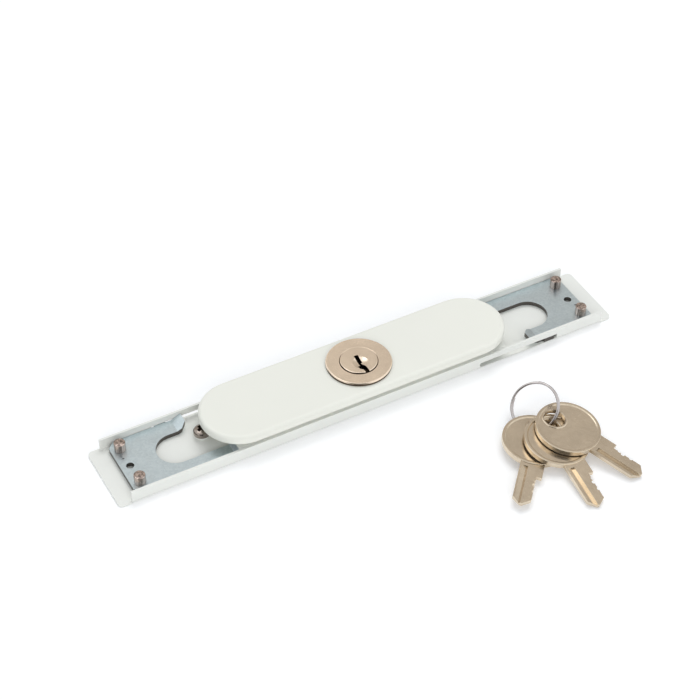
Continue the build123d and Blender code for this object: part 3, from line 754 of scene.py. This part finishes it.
class SHUTTERLOCK_OT_bolt_plates(bpy.types.Operator):
    """Finish the two sliding plates"""

    bl_idname = "shutterlock.bolt_plates"
    bl_label = "Bolt plates"

    def execute(self, context):
        for node in ("left_bolt_plate", "right_bolt_plate"):
            edge = context.scene.lock_sizes.plate_edge
            # The plates' upright faces, cut edges, slot walls and hole walls, take a dark colour: bare edges,
            # deepened as painted shade.
            mark(dress(node, edge, segments=FINE_STEPS, fold=FOLD_CREASE), upright)
        return {"FINISHED"}


class SHUTTERLOCK_OT_drive_pins(bpy.types.Operator):
    """Turn one drive pin and set a copy of it in each place"""

    bl_idname = "shutterlock.drive_pins"
    bl_label = "Drive pins"

    def execute(self, context):
        sizes = context.scene.lock_sizes
        low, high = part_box("left_pin_front")
        seat = high.z - sizes.pin_height
        pattern = turned("drive_pin", [
            (0, low.z), (sizes.pin_shank_radius, low.z), (sizes.pin_shank_radius, seat),
            (sizes.pin_radius, seat), (sizes.pin_radius, high.z), (0, high.z)],
            steps=64, edge=sizes.pin_edge, segments=3)
        for node in ("left_pin_front", "left_pin_rear", "right_pin_front", "right_pin_rear"):
            pin = own_copy(pattern, f"{node}_finish")
            lay(pin, middle_of(node))
            finish_node(pin, node)
        bpy.data.objects.remove(pattern, do_unlink=True)
        return {"FINISHED"}


class SHUTTERLOCK_OT_cover(bpy.types.Operator):
    """Finish the long white cover"""

    bl_idname = "shutterlock.cover"
    bl_label = "Cover"

    def execute(self, context):
        dress("cover", context.scene.lock_sizes.moulding_edge)
        return {"FINISHED"}


class SHUTTERLOCK_OT_cylinder(bpy.types.Operator):
    """Turn the cylinder's housing, with the flange that shows on the cover"""

    bl_idname = "shutterlock.cylinder"
    bl_label = "Cylinder housing"

    def execute(self, context):
        sizes = context.scene.lock_sizes
        low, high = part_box("cylinder_housing")
        foot, top = low.z, high.z
        under_flange = top - sizes.flange_height
        seat = foot + sizes.spigot_height
        groove_low, groove_high = foot + sizes.clip_groove_low, foot + sizes.clip_groove_high
        groove_radius = sizes.barrel_radius - sizes.clip_groove_depth
        flange_face = sizes.flange_radius - sizes.flange_bevel
        housing = turned("cylinder_housing_finish", [
            (sizes.bore_radius, foot), (sizes.spigot_radius, foot), (sizes.spigot_radius, seat),
            (sizes.barrel_radius, seat), (sizes.barrel_radius, groove_low), (groove_radius, groove_low),
            (groove_radius, groove_high), (sizes.barrel_radius, groove_high),
            (sizes.barrel_radius, under_flange), (sizes.flange_radius, under_flange),
            (sizes.flange_radius, top - sizes.flange_bevel), (flange_face, top),
            (sizes.bore_radius + sizes.bore_bevel, top), (sizes.bore_radius, top - sizes.bore_bevel),
            (sizes.bore_radius, foot)],
            steps=128, edge=sizes.turned_edge)
        # The upright faces, bore and flange side among them, take the recess colour as painted shade.
        mark(housing, upright)
        finish_node(housing, "cylinder_housing", TURNED_CREASE)
        return {"FINISHED"}


class SHUTTERLOCK_OT_plug(bpy.types.Operator):
    """Turn the plug, hollow its face and cut its keyway"""

    bl_idname = "shutterlock.plug"
    bl_label = "Plug"

    def execute(self, context):
        sizes = context.scene.lock_sizes
        low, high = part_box("cylinder_plug")
        foot, top = low.z, high.z
        shoulder = foot + sizes.tail_height
        plug = turned("cylinder_plug_finish", [
            (0, foot), (sizes.tail_radius, foot), (sizes.tail_radius, shoulder),
            (sizes.plug_radius, shoulder), (sizes.plug_radius, top - sizes.plug_bevel),
            (sizes.plug_radius - sizes.plug_bevel, top), (0, top)],
            steps=128, edge=sizes.turned_edge)
        ball_radius = (sizes.dish_radius ** 2 + sizes.dish_depth ** 2) / (2 * sizes.dish_depth)
        bpy.ops.mesh.primitive_uv_sphere_add(
            segments=192, ring_count=160, radius=ball_radius,
            location=(0, sizes.dish_y, top - sizes.dish_depth + ball_radius))
        combine(plug, bpy.context.object, "DIFFERENCE")
        reach = 2 * sizes.tail_radius
        for side in (-1, 1):
            inner, outer = side * sizes.tail_flat, side * reach
            flat = prism("tail_flat", [(inner, -reach), (outer, -reach), (outer, reach), (inner, reach)],
                         foot - MM, shoulder)
            combine(plug, flat, "DIFFERENCE")
        keyway = prism("keyway", [(x * MM, y * MM) for x, y in KEYWAY], foot - MM, top + MM)
        combine(plug, keyway, "DIFFERENCE")
        # The plug's upright faces, keyway walls among them, take the recess colour as painted shade.
        mark(plug, upright)
        finish_node(plug, "cylinder_plug", TURNED_CREASE)
        return {"FINISHED"}


class SHUTTERLOCK_OT_fixing_screw(bpy.types.Operator):
    """Turn the fixing screw and sink the cross recess in its head"""

    bl_idname = "shutterlock.fixing_screw"
    bl_label = "Fixing screw"

    def execute(self, context):
        sizes = context.scene.lock_sizes
        low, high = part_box("fixing_screw")
        seat = high.z - sizes.screw_head_height
        rim = seat + sizes.screw_rim_height
        radius, dome = sizes.screw_head_radius, high.z - rim
        tilts = [step * pi / (2 * DOME_STEPS) for step in range(DOME_STEPS)]
        screw = turned("fixing_screw_finish", [
            (0, low.z), (sizes.screw_shank_radius, low.z), (sizes.screw_shank_radius, seat), (radius, seat),
            *((radius * cos(tilt), rim + dome * sin(tilt)) for tilt in tilts), (0, high.z)],
            steps=64, edge=sizes.screw_edge)
        span, width = sizes.recess_span / 2, sizes.recess_width / 2
        floor = high.z - sizes.recess_depth
        cross = prism("cross_recess", [
            (-span, -width), (-width, -width), (-width, -span), (width, -span), (width, -width),
            (span, -width), (span, width), (width, width), (width, span), (-width, span), (-width, width),
            (-span, width)],
            floor, high.z + MM)
        taper(cross, floor, RECESS_TAPER)
        combine(screw, cross, "DIFFERENCE")

        def sunk(face):
            """Whether a face is one of the recess's walls or its floor."""
            above_floor = face.center.z - floor
            inside = face.center.xy.length < RECESS_REACH * span and above_floor > -sizes.screw_edge
            return inside and (abs(face.normal.z) < LEANING or above_floor < sizes.screw_edge)

        # The recess's walls and floor take the recess colour as painted shade.
        mark(screw, sunk)
        lay(screw, middle_of("fixing_screw"), (0, 0, RECESS_TURN))
        finish_node(screw, "fixing_screw")
        return {"FINISHED"}


class SHUTTERLOCK_OT_hidden_fixings(bpy.types.Operator):
    """Finish the cover screws and rivets"""

    bl_idname = "shutterlock.hidden_fixings"
    bl_label = "Cover screws and rivets"

    def execute(self, context):
        for node in ("cover_screws", "bridge_rivets"):
            dress(node, context.scene.lock_sizes.screw_edge)
        return {"FINISHED"}


class SHUTTERLOCK_OT_inner_pieces(bpy.types.Operator):
    """Give the pieces hidden under the cover their materials"""

    bl_idname = "shutterlock.inner_pieces"
    bl_label = "Inner pieces"

    def execute(self, context):
        for node in ("guide_plate", "cylinder_clip", "plug_clip", "drive_pinion", "wafers", "wafer_springs"):
            give_material(frame["nodes"][node], node)
        return {"FINISHED"}


def blade_outline(sizes):
    """The blade seen flat, with its stop, its cuts and its point."""
    half = sizes.blade_half_width
    points = [(0, -half), (0, sizes.stop_reach), (sizes.stop_end, sizes.stop_reach), (sizes.stop_end, half)]
    middle = sizes.stop_end + sizes.first_cut
    for depth_mm in sizes.cuts:
        depth = depth_mm * MM
        flat, run = sizes.cut_flat / 2, depth * sizes.cut_slope
        points += [(middle - flat - run, half), (middle - flat, half - depth),
                   (middle + flat, half - depth), (middle + flat + run, half)]
        middle += sizes.cut_pitch
    tip_flat = sizes.blade_tip_flat / 2
    points += [(sizes.blade_tip_start, half), (sizes.blade_tip, tip_flat), (sizes.blade_tip, -tip_flat),
               (sizes.blade_tip_start, -half)]
    return points


def model_blade(sizes):
    """The blade: its outline is raised, cut off at the bow's rim, grooved and rounded."""
    half = sizes.blade_thickness / 2
    blade = prism("blade", blade_outline(sizes), -half, half)
    middle_of_rim = sizes.bow_radius - sizes.rim / 2
    bow_core = turned("bow_core", mirrored([(0, -2 * half), (middle_of_rim, -2 * half)]))
    combine(blade, bow_core, "DIFFERENCE")
    floor = half - sizes.groove_depth
    groove = prism("groove", [
        (-sizes.groove_near + 2 * sizes.groove_slope, half + 2 * sizes.groove_depth),
        (-sizes.groove_near, half), (-sizes.groove_near - sizes.groove_slope, floor),
        (-sizes.groove_far, half), (-2 * sizes.groove_far, half + sizes.groove_depth)],
        0, 2 * sizes.blade_tip)
    lay(groove, (sizes.groove_start, 0, 0), (pi / 2, 0, pi / 2))
    combine(blade, groove, "DIFFERENCE")
    round_edges(blade, sizes.blade_edge, FINE_STEPS)
    return blade


def model_key(sizes):
    """One key: the bow is turned, the hole's rim set on it, the blade joined and the hole cut."""
    half = sizes.thickness / 2
    web = half - sizes.recess
    rim = sizes.bow_radius - sizes.rim
    slope = sizes.rim_slope
    key = turned("key_pattern", mirrored([
        (0, -web), (rim - slope, -web), (rim, -half), (sizes.bow_radius, -half)]),
        steps=160, edge=sizes.edge, segments=FINE_STEPS)
    outer = sizes.hole_radius + sizes.hole_rim
    hole = (-sizes.hole_offset, 0, 0)
    collar = turned("collar", mirrored([
        (0, -half), (outer - slope, -half), (outer, slope / COLLAR_FINENESS - web)]),
        place=hole, edge=sizes.edge / COLLAR_FINENESS, segments=FINE_STEPS)
    combine(key, collar, "UNION")
    combine(key, model_blade(sizes), "UNION")
    flare = sizes.hole_radius + slope
    cutter = turned("ring_hole", mirrored([
        (0, -2 * half), (flare, -2 * half), (flare, -half), (sizes.hole_radius, slope - half)]), place=hole)
    combine(key, cutter, "DIFFERENCE")
    return key


class SHUTTERLOCK_OT_keys(bpy.types.Operator):
    """Model one key and lay three of them on each other"""

    bl_idname = "shutterlock.keys"
    bl_label = "Keys"

    def execute(self, context):
        sizes = context.scene.key_sizes
        pattern = model_key(sizes)
        for index in (1, 2, 3):
            key = own_copy(pattern, f"key_{index}_finish")
            lay(key, getattr(sizes, f"place_{index}"), getattr(sizes, f"turn_{index}"))
            finish_node(key, f"key_{index}", FOLD_CREASE)
        bpy.data.objects.remove(pattern, do_unlink=True)
        return {"FINISHED"}


def slice_index(place):
    """Which slice of the ring a point belongs to."""
    return round(atan2(place.y, place.x) % (2 * pi) / (2 * pi) * RING_SLICES) % RING_SLICES


def keep_arc(piece, first, last, inside):
    """Deletes the slices of a turn outside an arc, or inside it, and leaves the slices at its ends."""
    def unwanted(place):
        index = slice_index(place)
        return not first <= index <= last if inside else first < index < last

    choose_points(piece, unwanted)
    bpy.ops.mesh.delete(type="VERT")
    leave_edit()


def shift_slices(piece, first, last, level):
    """Lets the wire pass smoothly from the far turn to the near one, slice by slice."""
    for index in range(first, last + 1):
        choose_points(piece, lambda place: slice_index(place) == index)
        share = (index - first) / (last - first)
        bpy.ops.transform.translate(value=(0, 0, -level * cos(pi * share)))
        leave_edit()


class SHUTTERLOCK_OT_split_ring(bpy.types.Operator):
    """Wind the split ring: two turns of wire, joined by one crossing between its two ends"""

    bl_idname = "shutterlock.split_ring"
    bl_label = "Split ring"

    def execute(self, context):
        sizes = context.scene.key_sizes
        first = round(sizes.crossing_start / (2 * pi) * RING_SLICES)
        last = round(sizes.crossing_end / (2 * pi) * RING_SLICES)
        level = sizes.ring_pitch / 2
        turns = []
        for height in (-level, 0, level):
            bpy.ops.mesh.primitive_torus_add(
                major_segments=RING_SLICES, minor_segments=WIRE_SIDES, major_radius=sizes.ring_radius,
                minor_radius=sizes.wire_radius, location=(0, 0, height))
            piece = bpy.context.object
            bpy.ops.object.transform_apply(location=True, rotation=False, scale=False)
            crossing = height == 0
            keep_arc(piece, first, last, crossing)
            if crossing:
                shift_slices(piece, first, last, level)
            turns.append(piece)
        deselect()
        for piece in turns:
            piece.select_set(True)
        bpy.context.view_layer.objects.active = turns[0]
        bpy.ops.object.join()
        ring = bpy.context.object
        ring.name = "split_ring_finish"
        edit_all()
        bpy.ops.mesh.remove_doubles(threshold=NEAR)
        bpy.ops.mesh.select_all(action="SELECT")
        bpy.ops.mesh.fill_holes(sides=0)
        close_up()
        leave_edit()
        lay(ring, sizes.ring_place, sizes.ring_turn)
        finish_node(ring, "split_ring", WIRE_CREASE)
        return {"FINISHED"}


def look_matrix(settings):
    """Where the camera stands and how it is turned, from its side, height, distance and roll."""
    away = Vector((
        cos(settings.elevation) * sin(settings.azimuth),
        -cos(settings.elevation) * cos(settings.azimuth),
        sin(settings.elevation)))
    across = (-away).cross(Vector((0, 0, 1))).normalized()
    up = across.cross(-away)
    right = across * cos(settings.roll) + up * sin(settings.roll)
    above = up * cos(settings.roll) - across * sin(settings.roll)
    facing = Matrix((right, above, away)).transposed().to_4x4()
    return Matrix.Translation(Vector(settings.target) + away * settings.distance) @ facing


def aimed(place, aim, axis):
    """The turns that point an axis from one place to another."""
    return (Vector(aim) - Vector(place)).to_track_quat(axis, "Y").to_euler()


def add_lamp(name, power, place, width, height):
    """A soft rectangular lamp that points at the object and isn't mirrored in it."""
    bpy.ops.object.light_add(type="AREA", location=place)
    lamp = bpy.context.object
    lamp.name = name
    lamp.data.shape = "RECTANGLE"
    lamp.data.size = width
    lamp.data.size_y = height
    lamp.data.energy = power
    lamp.rotation_euler = aimed(place, (0, 0, 0), "-Z")
    lamp.visible_glossy = False


def stage_material(name, base=(0, 0, 0), glow=(1, 1, 1), level=0.0):
    """A matt material that isn't the object's, and its shader."""
    material = bpy.data.materials.new(name)
    material.use_nodes = True
    shader = material.node_tree.nodes["Principled BSDF"]
    for label, value in (("Base Color", (*base, 1)), ("Roughness", MATT), ("Specular IOR Level", 0.0),
                         ("Emission Color", (*glow, 1)), ("Emission Strength", level)):
        shader.inputs[label].default_value = value
    return material, shader


def add_card(name, level, place, width, height, aim=(0, 0, 0.1), tint=(1, 1, 1)):
    """A studio card, bright or dark, that only polished surfaces see."""
    bpy.ops.mesh.primitive_plane_add(size=1, location=place)
    card = bpy.context.object
    card.name = name
    card.scale = (width, height, 1)
    card.rotation_euler = aimed(place, aim, "Z")
    material, _ = stage_material(name, glow=tint, level=level)
    card.data.materials.append(material)
    card.visible_camera = False
    card.visible_diffuse = False
    card.visible_shadow = False
    card.visible_transmission = False


def seen_rays(tree):
    """1 where the camera, polished metal and glass see a surface, and 0 where it lights the object."""
    path = tree.nodes.new("ShaderNodeLightPath").outputs
    polished = add_math(tree, "MAXIMUM")
    every = add_math(tree, "MAXIMUM")
    link(tree, (path["Is Glossy Ray"], polished.inputs[0]),
         (path["Is Transmission Ray"], polished.inputs[1]),
         (path["Is Camera Ray"], every.inputs[0]), (polished.outputs["Value"], every.inputs[1]))
    return every.outputs["Value"]


def add_floor(settings):
    """A pale floor that keeps its shadows and stays bright where it is seen."""
    bpy.ops.mesh.primitive_plane_add(size=FLOOR_SPAN, location=(0, 0, 0))
    floor = bpy.context.object
    floor.name = "floor"
    material, shader = stage_material("Pale floor", settings.floor)
    tree = material.node_tree
    lift = add_math(tree, "MULTIPLY", (1, settings.lift))
    link(tree, (seen_rays(tree), lift.inputs[0]),
         (lift.outputs["Value"], shader.inputs["Emission Strength"]))
    floor.data.materials.append(material)


def add_sky(scene, settings):
    """An even sky that lights the object and is seen as plain white."""
    world = scene.world or bpy.data.worlds.new("World")
    scene.world = world
    world.use_nodes = True
    tree = world.node_tree
    tree.nodes.clear()
    output = tree.nodes.new("ShaderNodeOutputWorld")
    sky = add_node(tree, "ShaderNodeBackground", Strength=settings.sky, Color=(*settings.sky_tint, 1))
    white = add_node(tree, "ShaderNodeBackground", Strength=1.0, Color=(1, 1, 1, 1))
    mix = tree.nodes.new("ShaderNodeMixShader")
    link(tree, (seen_rays(tree), mix.inputs["Fac"]), (sky.outputs["Background"], mix.inputs[1]),
         (white.outputs["Background"], mix.inputs[2]), (mix.outputs["Shader"], output.inputs["Surface"]))


def add_camera(scene, settings):
    """The camera that took the photo."""
    data = bpy.data.cameras.new("camera")
    data.lens = settings.lens
    data.sensor_width = SENSOR_WIDTH
    data.sensor_fit = "HORIZONTAL"
    data.clip_start = NEAREST_SEEN
    camera = bpy.data.objects.new("camera", data)
    scene.collection.objects.link(camera)
    camera.matrix_world = look_matrix(settings)
    scene.camera = camera


class SHUTTERLOCK_OT_stage(bpy.types.Operator):
    """Floor, sky, lamps, reflected cards and camera"""

    bl_idname = "shutterlock.stage"
    bl_label = "Stage"

    def execute(self, context):
        settings = context.scene.lock_stage
        add_floor(settings)
        add_sky(context.scene, settings)
        # Each lamp and card has its place, width and height in metres.
        add_lamp("overhead_lamp", settings.lamp, (0.70, 0.90, 2.2), 1.8, 1.4)
        add_lamp("front_lamp", settings.fill, (-0.70, -2.20, 1.1), 2.4, 1.6)
        add_card("bright_card", settings.bright_card, (-0.30, 0.35, 1.0), 0.6, 0.5, aim=(0, 0, 0))
        # The far cards stand edge to edge behind the lock and face it side by side.
        add_card("far_card_left", settings.far_card_left, (-0.036, 1.172, 0.56), 1.3, 1.2,
                 aim=(-0.536, 0.312, 0.1), tint=settings.far_tint)
        add_card("far_card_right", settings.far_card_right, (1.088, 0.518, 0.56), 1.3, 1.2,
                 aim=(0.588, -0.342, 0.1), tint=settings.far_tint)
        add_card("left_card", settings.dark_card, (-1.10, 0.30, 0.20), 1.5, 0.40, aim=(0, 0, 0.20))
        add_card("front_card", settings.dark_card, (-0.55, -1.00, 0.70), 1.3, 1.30)
        add_camera(context.scene, settings)
        context.scene.view_settings.view_transform = "Standard"
        return {"FINISHED"}


SETTINGS = {
    "lock_sizes": LockSizes,
    "key_sizes": KeySizes,
    "lock_colours": LockColours,
    "lock_stage": StageSettings,
}
OPERATORS = (
    SHUTTERLOCK_OT_channel,
    SHUTTERLOCK_OT_bolt_plates,
    SHUTTERLOCK_OT_drive_pins,
    SHUTTERLOCK_OT_cover,
    SHUTTERLOCK_OT_cylinder,
    SHUTTERLOCK_OT_plug,
    SHUTTERLOCK_OT_fixing_screw,
    SHUTTERLOCK_OT_hidden_fixings,
    SHUTTERLOCK_OT_inner_pieces,
    SHUTTERLOCK_OT_keys,
    SHUTTERLOCK_OT_split_ring,
    SHUTTERLOCK_OT_stage,
)


class SHUTTERLOCK_PT_panel(bpy.types.Panel):
    """Sizes, finishes and pieces of the shutter lock"""

    bl_idname = "SHUTTERLOCK_PT_panel"
    bl_label = "Roller Shutter Lock"
    bl_space_type = "VIEW_3D"
    bl_region_type = "UI"
    bl_category = "Shutter Lock"

    def draw(self, context):
        for name, group in SETTINGS.items():
            box = self.layout.box()
            for key in group.__annotations__:
                box.prop(getattr(context.scene, name), key)
        for operator in OPERATORS:
            self.layout.operator(operator.bl_idname)


CLASSES = (*SETTINGS.values(), *OPERATORS, SHUTTERLOCK_PT_panel)


def register():
    for item in CLASSES:
        bpy.utils.register_class(item)
    for name, group in SETTINGS.items():
        setattr(bpy.types.Scene, name, bpy.props.PointerProperty(type=group))


def unregister():
    for name in SETTINGS:
        delattr(bpy.types.Scene, name)
    for item in reversed(CLASSES):
        bpy.utils.unregister_class(item)


def main():
    register()
    make_materials()
    bpy.ops.shutterlock.channel()
    bpy.ops.shutterlock.bolt_plates()
    bpy.ops.shutterlock.drive_pins()
    bpy.ops.shutterlock.cover()
    bpy.ops.shutterlock.cylinder()
    bpy.ops.shutterlock.plug()
    bpy.ops.shutterlock.fixing_screw()
    bpy.ops.shutterlock.hidden_fixings()
    bpy.ops.shutterlock.inner_pieces()
    bpy.ops.shutterlock.keys()
    bpy.ops.shutterlock.split_ring()
    bpy.ops.shutterlock.stage()


if __name__ == "__main__":
    main()
